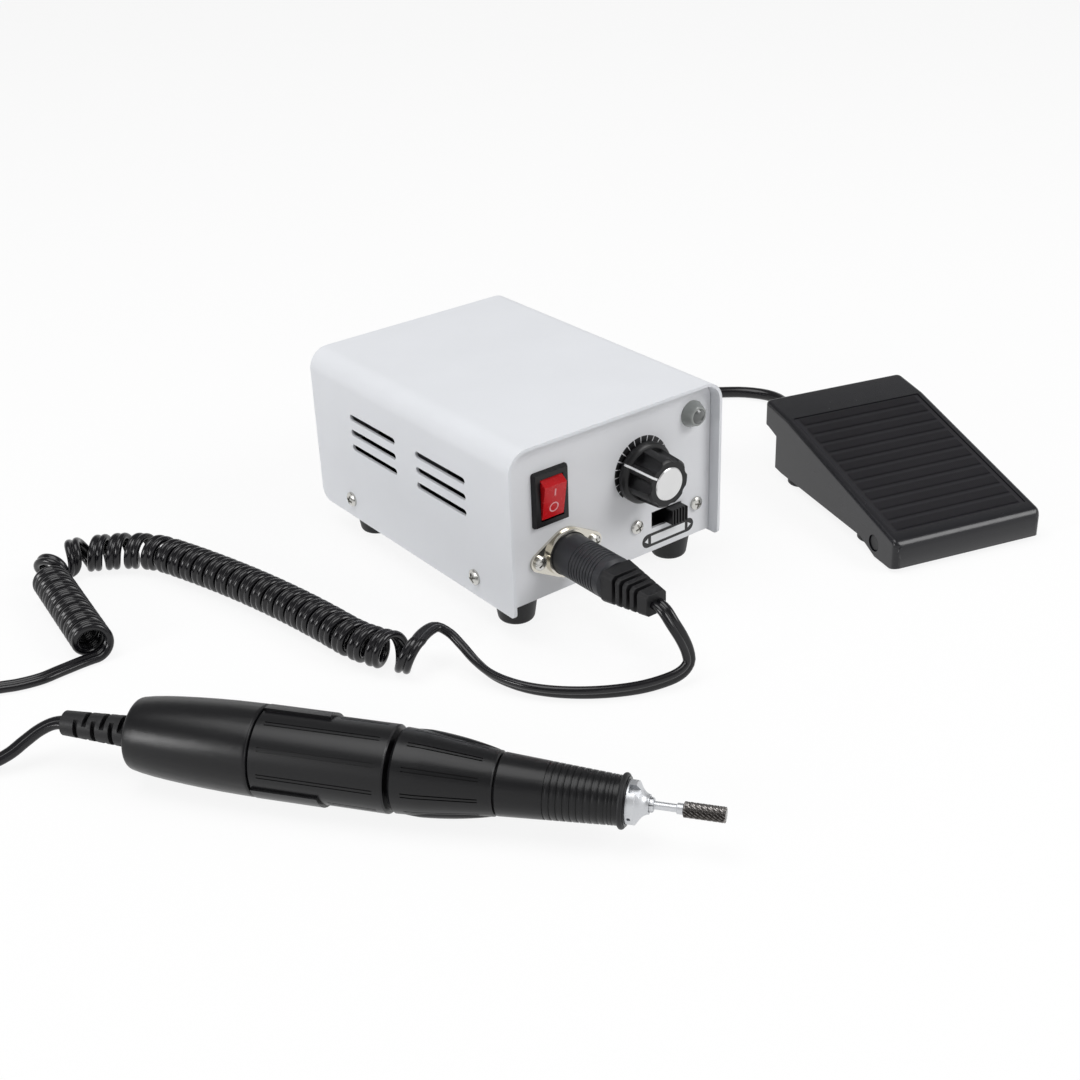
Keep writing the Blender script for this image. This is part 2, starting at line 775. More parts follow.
@dataclass
class CurlyLead:
    """The twin lead from the plug through its curls to the handpiece.

    Attributes:
        strand: Diameter of one strand.
        curl_r: Radius of the curls at the middle of the lead.
        curl_start: Where the curls' axis begins on the bench.
        curl_heading: Direction of that axis there, in degrees.
        axis_z: Height of the axis off the bench.
        start: Where the lead leaves the plug's strain relief.
        lead: Route from the plug to the curls.
        runs: Straights and arcs of the curls' axis: length, turn in degrees and number of curls.
        tail: Route from the curls to the handpiece.
        boot_len: Length of the handpiece's strain relief, where the lead ends.
        rings_a_curl: Sections in one curl.
        step: Distance between sections elsewhere.
        apart: Distance from the lead's middle to a strand's, as a share of the strand's radius.
        web_angle: Angle round a strand from its outer side to the web, in degrees.
        corners: Facets round one strand.
    """

    strand: float = 2.8
    curl_r: float = 5.6
    curl_start: Pair = (-75.0, 5.0)
    curl_heading: float = 129.0
    axis_z: float = 7.1
    start: Point = (-13.5, -45.0, 25.5)
    lead: list[Point] = field(
        default_factory=lambda: [
            (-13.5, -49, 24.6),
            (-13, -52.5, 21),
            (-11.3, -55, 16),
            (-10, -56.5, 11),
            (-10.5, -57.5, 7),
            (-15.5, -57.5, 4.5),
            (-24.8, -54.6, 3.2),
            (-34, -50.2, 2.9),
            (-43.4, -43.8, 2.9),
            (-51.5, -35.7, 2.9),
            (-57, -26.8, 2.9),
            (-60, -16.6, 3.1),
            (-60.6, -7.4, 4.4),
            (-60.8, 0.4, 7.2),
            (-62, 6, 10.2),
            (-65.6, 9.2, 12.3),
        ]
    )
    runs: list[tuple[float, float, float]] = field(
        default_factory=lambda: [
            (12.6, -13, 1),
            (19, -20, 2.75),
            (92.5, 13, 14.5),
            (24, 40, 3),
            (8.5, 0, 1.25),
            (27, 114, 2),
            (52, 0, 8),
        ]
    )
    tail: list[Point] = field(
        default_factory=lambda: [
            (-168.5, 84.8, 1.5),
            (-176, 84.4, 1.5),
            (-183.5, 86, 1.5),
            (-190.5, 89, 1.5),
            (-198, 90.8, 1.5),
            (-206, 89, 1.5),
            (-212.6, 83.4, 1.5),
            (-216.4, 75, 1.5),
            (-217.4, 66, 1.5),
            (-216, 57.6, 1.6),
            (-212.6, 50.4, 2),
            (-208, 45.6, 3.4),
            (-202.8, 43, 5.8),
            (-197.8, 41.7, 8.8),
            (-193.2, 40.2, 11.6),
            (-189.2, 38, 13.5),
        ]
    )
    boot_len: float = 24.8
    rings_a_curl: int = 36
    step: float = 1.2
    apart: float = 0.97
    web_angle: float = 156.0
    corners: int = 14

    def axis(self, turns: float) -> tuple[Vector, float]:
        """Follow the curls' axis.

        Args:
            turns: Number of curls so far.

        Returns:
            The place on the axis, and its direction there in degrees.
        """
        at = Vector((*self.curl_start, self.axis_z))
        heading = self.curl_heading
        for length, turn, curls in self.runs:
            share = min(1.0, turns / curls)
            bend = math.radians(turn * share)
            h = math.radians(heading)
            if turn == 0:
                at = at + length * share * Vector((math.cos(h), math.sin(h), 0))
            else:
                radius = length / math.radians(turn)
                ahead = math.sin(h + bend) - math.sin(h)
                at = at + radius * Vector((ahead, math.cos(h) - math.cos(h + bend), 0))
            heading += turn * share
            turns -= curls
            if turns <= TINY:
                break
        return at, heading

    def curl(self, turns: float) -> tuple[Vector, Vector]:
        """Follow the lead through its curls.

        Args:
            turns: Number of curls so far.

        Returns:
            The lead's middle and its wide direction.
        """
        at, heading = self.axis(turns)
        h = math.radians(heading)
        left = Vector((-math.sin(h), math.cos(h), 0))
        phase = math.tau * turns
        up = Vector((0, 0, 1))
        point = at + self.curl_r * (math.cos(phase) * up + math.sin(phase) * left)
        return point, Vector((math.cos(h), math.sin(h), 0))

    def outline(self) -> Outline:
        """Draw the section of the lead: two round strands with a narrow web.

        Returns:
            Its corners in order.
        """
        r = self.strand / 2
        round_it = arc(r, -self.web_angle, self.web_angle, self.corners)
        half = [(r * self.apart + x, y) for x, y in round_it]
        return half + [(-x, -y) for x, y in half]

    def route(self) -> tuple[list[Vector], list[Vector]]:
        """Join the routes before, through and behind the curls.

        Returns:
            The lead's middle line, and its wide direction at each point.
        """
        total = sum(curls for _, _, curls in self.runs)
        count = round(total * self.rings_a_curl)
        curls = [self.curl(i / self.rings_a_curl) for i in range(count + 1)]
        first, last = curls[0][0], curls[-1][0]
        h_in, h_out = math.radians(self.curl_heading), math.radians(self.axis(total)[1])
        into = Vector((-math.sin(h_in), math.cos(h_in), 0))
        out = Vector((math.sin(h_out), -math.cos(h_out), 0))
        hand = Frames.HAND @ Vector((0, 0, -self.boot_len))
        ahead = (Frames.HAND.to_3x3() @ Vector((0, 0, 1))).normalized()
        lead = [Vector(self.start), *(Vector(p) for p in self.lead), first]
        tail = [last, *(Vector(p) for p in self.tail), hand]
        front = smooth_route(lead, Vector((0, -1, 0)), into, self.step)
        back = smooth_route(tail, out, ahead, self.step)
        wides = self._carried(front, Vector((1, 0, 0)), curls[0][1]) + [w for _, w in curls[1:-1]]
        line = front + [p for p, _ in curls[1:-1]] + back
        wides += [self._level(back, i) for i in range(len(back))]
        return line, wides

    @staticmethod
    def _level(line: list[Vector], i: int) -> Vector:
        """Find the level direction across a line at one of its points.

        Args:
            line: Points of the line.
            i: Number of the point.

        Returns:
            The direction, one unit long.
        """
        ahead = line[min(i + 1, len(line) - 1)] - line[max(i - 1, 0)]
        return ahead.cross(Vector((0, 0, 1))).normalized()

    @staticmethod
    def _carried(line: list[Vector], first: Vector, last: Vector) -> list[Vector]:
        """Carry the wide direction along a line, with no more twist than its two ends ask for.

        Args:
            line: Points of the line.
            first: Wide direction at the first point.
            last: Wide direction at the last point.

        Returns:
            The wide direction at each point.
        """
        ends = zip([line[0], *line[:-1]], [*line[1:], line[-1]])
        ahead = [(b - a).normalized() for a, b in ends]
        wides = [first]
        for a, b in zip(ahead, ahead[1:]):
            wides.append(a.rotation_difference(b) @ wides[-1])
        end = ahead[-1]
        goal = (last - last.dot(end) * end).normalized()
        off = math.atan2(wides[-1].cross(goal).dot(end), wides[-1].dot(goal))
        off -= math.pi * round(off / math.pi)
        step = off / (len(line) - 1)
        return [Quaternion(a, step * i) @ w for i, (a, w) in enumerate(zip(ahead, wides))]

    def build(self) -> None:
        line, wides = self.route()
        solid = sweep(line, wides, [self.outline()] * len(line))
        nodes = ("handpiece_lead", "handpiece_curls", "handpiece_tail")
        cord = solid.piece("twin_lead", "set", Finishes.SHEATH, nodes, smooth=60)


def sweep(line: list[Vector], wides: list[Vector], outlines: list[Outline]) -> Solid:
    """Extrude a closed section along a line, ring by ring.

    Args:
        line: Middle of the section at each ring.
        wides: Direction of the section's X at each ring, about square to the line.
        outlines: The section's corners at each ring, the same number in each.

    Returns:
        The tube, closed at both ends.
    """
    solid = Solid()
    bm = solid.bm
    verts = [bm.verts.new((x, y, 0)) for x, y in outlines[0]]
    first = bm.faces.new(verts)
    edges = list(first.edges)
    last_wide = wides[0]
    for i, (point, wide, outline) in enumerate(zip(line, wides, outlines)):
        ahead = (line[min(i + 1, len(line) - 1)] - line[max(i - 1, 0)]).normalized()
        if wide.dot(last_wide) < 0:
            wide = -wide
        last_wide = wide
        across = (wide - wide.dot(ahead) * ahead).normalized()
        up = ahead.cross(across)
        if i:
            made = bmesh.ops.extrude_edge_only(bm, edges=edges)
            old = {v: k for k, v in enumerate(verts)}
            edges = [g for g in made["geom"] if isinstance(g, bmesh.types.BMEdge)]
            order: list = [None] * len(verts)
            for v in verts_in(made):
                mate = next(e.other_vert(v) for e in v.link_edges if e.other_vert(v) in old)
                order[old[mate]] = v
            verts = order
        for v, (x, y) in zip(verts, outline):
            v.co = point + x * across + y * up
    bm.faces.new(verts)
    return solid


@dataclass
class PedalCord:
    """The pedal's cord: from the pedal to a stored coil, and on to the box's jack.

    Attributes:
        diameter: Diameter of the cord.
        out: Route from the pedal to the coil.
        back: Route from the coil to the plug.
        coil_at: Middle of the coil.
        coil_r: Radius of the coil's outer loop.
        coil_step: Step from loop to loop and from layer to layer.
        coil_loops: Loops in each of the two layers.
        last_turn: Part of a loop after the two layers.
        lift: Part of a loop in which the cord climbs to the second layer.
        low_z: Height of the cord's middle on the bench.
        rings_a_loop: Sections in one loop.
        step: Distance between sections elsewhere.
        exit_uvz: Where the cord leaves the strain relief, on the pedal.
        plug_end: Where it enters the plug.
        tie_angle: Place of the tie round the coil, in degrees.
        tie_width: Width of the tie.
        tie_wall: Thickness of its sides and top.
        tie_low: Height of its inner and its outer face under the coil.
        tie_gap: Gap between the tie and the cord.
    """

    diameter: float = 5.0
    out: list[Point] = field(
        default_factory=lambda: [
            (150.6, 48, 9.4),
            (154, 57, 6.6),
            (160, 65, 3.4),
            (168, 72.8, 2.6),
            (174, 81, 2.6),
            (174, 90.5, 2.6),
            (169, 99.5, 2.6),
            (162, 106, 2.6),
            (153, 112.5, 2.6),
            (142.5, 119, 2.6),
            (133, 127, 2.6),
            (126.6, 137, 2.6),
            (124.2, 149, 2.6),
        ]
    )
    back: list[Point] = field(
        default_factory=lambda: [
            (74, 201.6, 7.4),
            (62, 199, 5),
            (49, 194, 3),
            (36.5, 186.5, 2.7),
            (26, 178, 4.6),
            (18.6, 170.6, 9.6),
            (15, 164, 16.4),
            (14, 159, 22.6),
        ]
    )
    coil_at: Pair = (88.0, 166.0)
    coil_r: float = 36.0
    coil_step: float = 6.0
    coil_loops: float = 3.25
    last_turn: float = 0.75
    lift: float = 0.5
    low_z: float = 2.6
    rings_a_loop: int = 40
    step: float = 3.0
    exit_uvz: Point = (-6.0, 106.0, 10.1)
    plug_end: Point = (14.0, 154.4, 25.9)
    tie_angle: float = 75.0
    tie_width: float = 4.0
    tie_wall: float = 0.5
    tie_low: Pair = (0.09, 0.01)
    tie_gap: float = 0.15

    def coil_turns(self) -> float:
        """Return the number of turns in the coil."""
        return 2 * self.coil_loops + self.last_turn

    def coil_point(self, turns: float) -> Vector:
        """Follow the coil, in by one layer and out by the next.

        Args:
            turns: Number of turns so far.

        Returns:
            The cord's middle.
        """
        loops, step = self.coil_loops, self.coil_step
        inner = self.coil_r - step * loops
        radius = self.coil_r - step * turns
        if turns >= loops:
            radius = inner + step * max(0.0, turns - loops - self.lift)
        rise = step * min(1.0, max(0.0, (turns - loops) / self.lift))
        a = math.tau * turns
        x, y = self.coil_at
        return Vector((x + radius * math.cos(a), y + radius * math.sin(a), self.low_z + rise))

    def route(self) -> list[Vector]:
        """Join the routes before, through and behind the coil.

        Returns:
            The cord's middle line, pedal to plug.
        """
        count = round(self.coil_turns() * self.rings_a_loop)
        coil = [self.coil_point(i / self.rings_a_loop) for i in range(count + 1)]
        start = Frames.PEDAL @ Vector(self.exit_uvz)
        ahead = Frames.PEDAL.to_3x3() @ Vector((0, 1, 0))
        out = [start, *(Vector(p) for p in self.out), coil[0]]
        back = [coil[-1], *(Vector(p) for p in self.back), Vector(self.plug_end)]
        first = smooth_route(out, ahead, Vector((0, 1, 0)), self.step)
        last = smooth_route(back, Vector((-1, 0, 0)), Vector((0, -1, 0)), self.step)
        return first[:-1] + coil + last[1:]

    def tie(self) -> bpy.types.Object:
        """Wrap a flat band round the coil's loops at one side, to hold them.

        Returns:
            The band.
        """
        share = self.tie_angle / 360
        middle = Vector((*self.coil_at, 0))
        passes = range(int(self.coil_turns() - share) + 1)
        reach = [(self.coil_point(k + share) - middle).xy.length for k in passes]
        room = self.diameter / 2 + self.tie_gap
        in_r, out_r = min(reach) - room, max(reach) + room
        high = self.low_z + self.coil_step + room
        half = self.tie_width / 2
        band = Solid()
        loops = []
        for grow, low in zip((0.0, self.tie_wall), self.tie_low):
            corners = rectangle(in_r - grow, low, out_r + grow, high + grow)
            loops.append([band.bm.verts.new((x, z, -half)) for x, z in corners])
        for i in range(4):
            k = (i + 1) % 4
            band.bm.faces.new((loops[0][i], loops[0][k], loops[1][k], loops[1][i]))
        made = bmesh.ops.extrude_face_region(band.bm, geom=band.bm.faces[:], use_keep_orig=True)
        bmesh.ops.translate(band.bm, verts=verts_in(made), vec=(0, 0, self.tie_width))
        band.place(shifted(*middle) @ turned(self.tie_angle, "Z") @ turned(90, "X"))
        return band.piece("coil_tie", "set", Finishes.RUBBER)

    def build(self) -> None:
        line = self.route()
        curve = bpy.data.curves.new("pedal_flex", "CURVE")
        curve.dimensions = "3D"
        curve.bevel_depth = self.diameter / 2 * MM
        curve.bevel_resolution = 5
        curve.use_fill_caps = True
        spline = curve.splines.new("POLY")
        spline.points.add(len(line) - 1)
        for point, place in zip(spline.points, line):
            point.co = (*(c * MM for c in place), 1)
        spline.use_smooth = True
        curve.materials.append(Finishes.SHEATH.material())
        cord = show("pedal_flex", curve)
        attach(cord, "set")
        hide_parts("pedal_cord", "pedal_cord_coil", "pedal_cord_end")
        self.tie()
        LOG.info("built pedal_flex")


@dataclass(frozen=True)
class RoundedNode:
    """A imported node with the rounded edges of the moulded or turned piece.

    Attributes:
        node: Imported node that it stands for.
        name: Name of the piece.
        finish: Its finish.
        width: Width of the rounding.
        segments: Facets across it.
        body: Body that it rides on.
        corner: Angle in degrees from which an edge is rounded.
    """

    node: str
    name: str
    finish: Finish
    width: float
    segments: int = 2
    body: str = "set"
    corner: float = 30.0

    def build(self, nodes: dict[str, bpy.types.Object]) -> None:
        """Copy the node and round the edges of the copy.

        Args:
            nodes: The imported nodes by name.
        """
        solid = Solid.copy_of(nodes[self.node])
        solid.bevel(solid.sharp_edges(self.corner), self.width, self.segments)
        solid.piece(self.name, self.body, self.finish, (self.node,), flat=True)


class Housings:
    """The moulded, turned and folded pieces whose edges are rounded."""

    ROUNDED = (
        RoundedNode("cover", "cover_shell", Finishes.POWDER, 0.2),
        RoundedNode("rubber_feet", "box_feet", Finishes.RUBBER, 0.6, 3),
        RoundedNode("power_switch", "switch_bezel", Finishes.PLASTIC, 0.3),
        RoundedNode("power_rocker", "rocker_key", Finishes.RED, 0.35, 3, "rocker"),
        RoundedNode("speed_knob", "knob_grip", Finishes.PLASTIC, 0.35, 3, "knob"),
        RoundedNode("direction_slider", "slide_grip", Finishes.PLASTIC, 0.2, 2, "slider"),
        RoundedNode("handpiece_plug", "plug_barrel", Finishes.VINYL, 0.2),
        RoundedNode("plug_boot", "plug_relief", Finishes.RUBBER, 0.35),
        RoundedNode("handpiece_boot", "cord_relief", Finishes.RUBBER, 0.3),
        RoundedNode("rear_cap", "cap_shell", Finishes.ANODISED, 0.5, 3),
        RoundedNode("motor_case", "case_shell", Finishes.ANODISED, 0.2),
        RoundedNode("chuck_sleeve", "sleeve_shell", Finishes.ANODISED, 0.12, 2, "sleeve"),
        RoundedNode("nose_housing", "nose_shell", Finishes.ANODISED, 0.12),
        RoundedNode("pedal_base", "pedal_pan", Finishes.ENAMEL, 0.4),
        RoundedNode("pedal_feet", "pedal_pads", Finishes.RUBBER, 0.4),
    )

    @classmethod
    def build(cls, nodes: dict[str, bpy.types.Object]) -> None:
        """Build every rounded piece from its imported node."""
        for rounded in cls.ROUNDED:
            rounded.build(nodes)


@dataclass
class TreadleShell:
    """The treadle, with the broad rounding of its upper rim.

    Attributes:
        middle: Middle of the treadle along its length.
        pivot: Place of the pivot hole on the treadle's side.
        clear: Distance from the hole within which no edge is rounded.
        corner: Angle in degrees from which an edge is rounded.
        top: Least upward share of the top's direction.
        width: Width of the rounding.
        segments: Facets across it.
    """

    middle: float = 49.0
    pivot: Pair = Frames.PIVOT
    clear: float = 5.0
    corner: float = 20.0
    top: float = 0.35
    width: float = 1.6
    segments: int = 4

    def build(self, nodes: dict[str, bpy.types.Object]) -> None:
        """Copy the treadle and round its rim.

        Args:
            nodes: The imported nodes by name.
        """
        solid = Solid.copy_of(nodes["pedal_treadle"])
        solid.place(Frames.PEDAL.inverted())
        solid.bm.normal_update()
        rim = [e for e in solid.sharp_edges(self.corner) if self._on_rim(e)]
        solid.bevel(rim, self.width, self.segments, clamp=False)
        solid.place(Frames.PEDAL)
        solid.piece("treadle_shell", "treadle", Finishes.ENAMEL, ("pedal_treadle",), flat=True)

    def _on_rim(self, edge: bmesh.types.BMEdge) -> bool:
        """Tell whether an edge lies between the top and an outer wall, clear of the pivot hole.

        Args:
            edge: An edge in the pedal's frame.

        Returns:
            True for an edge of the rim.
        """
        at = (edge.verts[0].co + edge.verts[1].co) / 2
        low, high = sorted((f.normal for f in edge.link_faces), key=lambda n: n.z)
        outward = low.x * at.x + low.y * (at.y - self.middle) > 0
        clear = math.hypot(at.y - self.pivot[0], at.z - self.pivot[1]) > self.clear
        return high.z > self.top > low.z and outward and clear


@dataclass
class PivotPin:
    """The treadle's pivot pin, whose chamfered ends show in the treadle's sides.

    Attributes:
        at: Place of the pin's axis on the pedal.
        radius: Radius of the pin.
        length: Its length.
        chamfer: Width of the chamfer at its ends.
    """

    at: Pair = Frames.PIVOT
    radius: float = 3.2
    length: float = 63.0
    chamfer: float = 0.4

    def build(self) -> None:
        """Turn the pin and set it across the pedal."""
        r, c, half = self.radius, self.chamfer, self.length / 2
        pin = Solid()
        pin.turn([(0, -half), (r - c, -half), (r, c - half), (r, half - c), (r - c, half), (0, half)])
        pin.place(Frames.PEDAL @ shifted(0, *self.at) @ turned(90, "Y"))
        pin.piece("pivot_pin", "set", Finishes.OXIDE, ("pedal_pivot",))


@dataclass(frozen=True)
class CrossHeadScrew:
    """A pan-head screw with a cross recess, its head's seat at the origin.

    Attributes:
        head_r: Radius of the head.
        shank_r: Radius of the shank.
        length: Length under the head.
        head_h: Height of the head.
        dome: Radius of the head's dome, as a share of the head's.
        reaches: Points of the dome, as shares of the head's radius.
        rim: Height of the rounding at the head's rim.
        arm: Half length and half width of the recess's arms, as shares of the head's radius.
        floor: Height of the recess's floor, as a share of the head's.
    """

    head_r: float
    shank_r: float
    length: float
    head_h: float = 1.8
    dome: float = 1.6
    reaches: tuple[float, ...] = (0, 0.3, 0.6, 0.8, 0.92)
    rim: float = 0.25
    arm: Pair = (0.62, 0.14)
    floor: float = 0.3

    def solid(self) -> Solid:
        """Turn the screw and cut its recess.

        Returns:
            The screw.
        """
        r, h = self.head_r, self.head_h
        ball = self.dome * r
        dome = [(x * r, h - ball + math.sqrt(ball**2 - (x * r) ** 2)) for x in self.reaches]
        shank = [(self.shank_r, 0), (self.shank_r, -self.length), (0, -self.length)]
        body = Solid()
        body.turn([*dome, (r, dome[-1][1] - self.rim), (r, 0), *shank], 40)
        a, w = (share * r for share in self.arm)
        quarter = [(a, -w), (a, w), (w, w)]
        cross = quarter
        for _ in range(3):
            quarter = [(-y, x) for x, y in quarter]
            cross = cross + quarter
        recess = Solid()
        recess.prism(cross, self.floor * h, h + 1)
        body.cut(recess)
        return body


@dataclass
class Screws:
    """The cross-head screws of the cover and of the front panel.

    Attributes:
        side: Screw of the cover.
        front: Screw of the front panel.
        side_ys: Places of the cover's screws along its sides.
        side_z: Their height.
        front_at: Places of the two screws beside the direction switch.
        ear_at: Places of the two screws in the socket's ears.
        ear: Thickness of those ears.
        turn: Turn of the first screw, and of each further one, in radians.
    """

    side: CrossHeadScrew = CrossHeadScrew(2.9, 1.45, 6.0)
    front: CrossHeadScrew = CrossHeadScrew(2.6, 1.3, 5.0)
    side_ys: Pair = (22.6, 103.4)
    side_z: float = 6.5
    front_at: tuple[Pair, ...] = ((11.3, 12.6), (40.1, 12.6))
    ear_at: tuple[Pair, ...] = ((-33.5, 14.6), (-9.5, 14.6))
    ear: float = 1.0
    turn: Pair = (0.4, 0.9)

    def build(self) -> None:
        """Set each screw in its hole, turned as it was left."""
        sides = [Frames.side(sign, y, self.side_z) for sign in (-1, 1) for y in self.side_ys]
        fronts = [Frames.panel(*at) for at in self.front_at]
        ears = [Frames.panel(*at) @ shifted(0, 0, self.ear) for at in self.ear_at]
        self._set(self.side, sides, "cover_screw_set", "cover_screws")
        self._set(self.front, fronts + ears, "panel_screw_set", "panel_screws")

    def _set(self, screw: CrossHeadScrew, frames: list[Matrix], name: str, node: str) -> None:
        """Build one set of equal screws.

        Args:
            screw: The screw.
            frames: Frame of each hole, with Z out of it.
            name: Name of the piece.
            node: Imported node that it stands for.
        """
        pattern = screw.solid()
        solid = Solid()
        first, each = self.turn
        for i, frame in enumerate(frames):
            solid.take(pattern.placed(frame @ Matrix.Rotation(first + each * i, 4, "Z")))
        pattern.bm.free()
        solid.piece(name, "set", Finishes.ZINC, (node,))


@dataclass
class PanelPrint:
    """The print on the front panel: blocks round the knob, and a label with two arrows.

    Attributes:
        blocks: Blocks in the ring.
        pitch: Angle from block to block, in degrees.
        gap: Angle between two blocks, in degrees.
        first: Angle of the first block, in degrees.
        ring: Inner and outer radius of the ring.
        ring_at: Middle of the ring on the panel.
        label: Width and height of the label.
        label_at: Its middle on the panel.
        window: Half width and half height of the pale field in the label.
        arrow: Tip, foot and half width of an arrowhead beside the field.
        ink: Height of the ink off the panel.
        second: Height of the ink on the label, as a share of that.
    """

    blocks: int = 18
    pitch: float = 15.0
    gap: float = 1.9
    first: float = 225.0
    ring: Pair = (8.6, 12.4)
    ring_at: Pair = (13.7, 35.2)
    label: Pair = (25.0, 5.4)
    label_at: Pair = (26.5, 4.8)
    window: Pair = (8.3, 1.55)
    arrow: Point = (11.3, 9.7, 1.1)
    ink: float = 0.03
    second: float = 1.7

    def build(self) -> None:
        """Print the black parts, then the pale field and arrows over the label."""
        black = Solid()
        for i in range(self.blocks):
            black.prism(self._block(self.first - self.pitch * i), -self.ink, self.ink)
        black.place(Frames.panel(*self.ring_at))
        label = Solid()
        label.prism(stadium(*self.label), -self.ink, self.ink)
        label.place(Frames.panel(*self.label_at))
        black.take(label)
        black.piece("panel_print_black", "set", Finishes.INK_BLACK)
        pale = Solid()
        x, y = self.window
        tip, foot, half = self.arrow
        pale.prism(rectangle(-x, -y, x, y), 0, self.second * self.ink)
        for sign in (-1, 1):
            head = [(sign * tip, 0), (sign * foot, half), (sign * foot, -half)]
            pale.prism(head, 0, self.second * self.ink)
        pale.place(Frames.panel(*self.label_at))
        pale.piece("panel_print_white", "set", Finishes.INK_WHITE)

    def _block(self, start: float) -> Outline:
        """Return one block of the ring, from an angle on clockwise."""
        end = start - self.pitch + self.gap
        return arc(self.ring[0], start, end, 3) + arc(self.ring[1], end, start, 5)


@dataclass
class SwitchMarks:
    """The bar and the ring on the rocker, on its tilted face.

    Attributes:
        at: Middle of the rocker on the panel.
        tilt: Tilt of the face at rest, in degrees.
        pivot: Height of the pivot off the panel.
        face: Distance from the pivot to the face.
        ring: Inner and outer radius of the ring.
        ring_y: Place of the ring on the face.
        bar: Two opposite corners of the bar on the face.
        ink: Height of the ink under and over the face.
    """

    at: Pair = (-27.9, 38.3)
    tilt: float = 10.0
    pivot: float = -1.6
    face: float = 4.75
    ring: Pair = (1.5, 1.95)
    ring_y: float = -2.4
    bar: tuple[Pair, Pair] = ((-0.25, 2.3), (0.25, 5.0))
    ink: Pair = (-0.03, 0.04)

    def build(self) -> None:
        """Print both marks."""
        (x0, y0), (x1, y1) = self.bar
        (inner, outer), (low, high) = self.ring, self.ink
        marks = Solid()
        marks.turn([(inner, low), (outer, low), (outer, high), (inner, high), (inner, low)], 40)
        marks.place(shifted(0, self.ring_y, 0))
        marks.prism(rectangle(x0, y0, x1, y1), low, high)
        tilt = shifted(0, 0, self.pivot) @ turned(self.tilt, "X") @ shifted(0, 0, self.face)
        marks.place(Frames.panel(*self.at) @ tilt)
        marks.piece("rocker_marks", "rocker", Finishes.PAINT_PINK)


@dataclass
class KnobPointer:
    """The white line from the knob's skirt up one ridge to the cap.

    Attributes:
        turn: Angle of the ridge, in degrees.
        base: Height of the knob's foot off the panel.
        width: Width of the line.
        outer: Radius and height of the line's outer side, from the skirt up to the cap.
        inner: The same of its inner side in the knob, from the cap down.
    """

    turn: float = 148.0
    base: float = 1.2
    width: float = 0.8
    outer: tuple[Pair, ...] = (
        (11.56, 1.0),
        (11.56, 1.83),
        (10.73, 2.67),
        (9.97, 2.95),
        (9.26, 12.73),
        (8.43, 13.56),
        (6.5, 13.56),
    )
    inner: tuple[Pair, ...] = (
        (6.5, 13.3),
        (8.3, 13.3),
        (9.0, 12.5),
        (9.7, 2.8),
        (10.6, 2.4),
        (11.3, 1.7),
        (11.3, 1.0),
    )

    def build(self) -> None:
        """Lay the line on the knob's outline."""
        line = Solid()
        line.prism([*self.outer, *self.inner], -self.width / 2, self.width / 2)
        ridge = shifted(0, 0, self.base) @ turned(self.turn, "Z") @ turned(90, "X")
        line.place(Frames.panel(*Frames.KNOB) @ ridge)
        line.piece("knob_pointer", "knob", Finishes.PAINT_WHITE)


@dataclass
class InletPins:
    """The two plated contacts of the mains inlet.

    Attributes:
        at: Middle of the inlet on the rear panel.
        pitch: Distance between the contacts.
        radius: Their radius.
        length: Length that shows in the well.
        chamfer: Width of the chamfer at their ends.
        over: Height of the ends over the posts.
    """

    at: Pair = (-26.0, 15.0)
    pitch: float = 8.6
    radius: float = 1.23
    length: float = 9.9
    chamfer: float = 0.5
    over: float = 0.03

    def build(self) -> None:
        """Turn both contacts over the moulded posts."""
        r, c, top = self.radius, self.chamfer, self.over
        pins = Solid()
        for sign in (-1, 1):
            pin = Solid()
            pin.turn([(0, top), (r - c, top), (r, -c), (r, -self.length), (0, -self.length)], 24)
            pin.place(Frames.rear(*self.at) @ shifted(sign * self.pitch / 2, 0, 0))
            pins.take(pin)
        pins.piece("inlet_contacts", "set", Finishes.NICKEL)


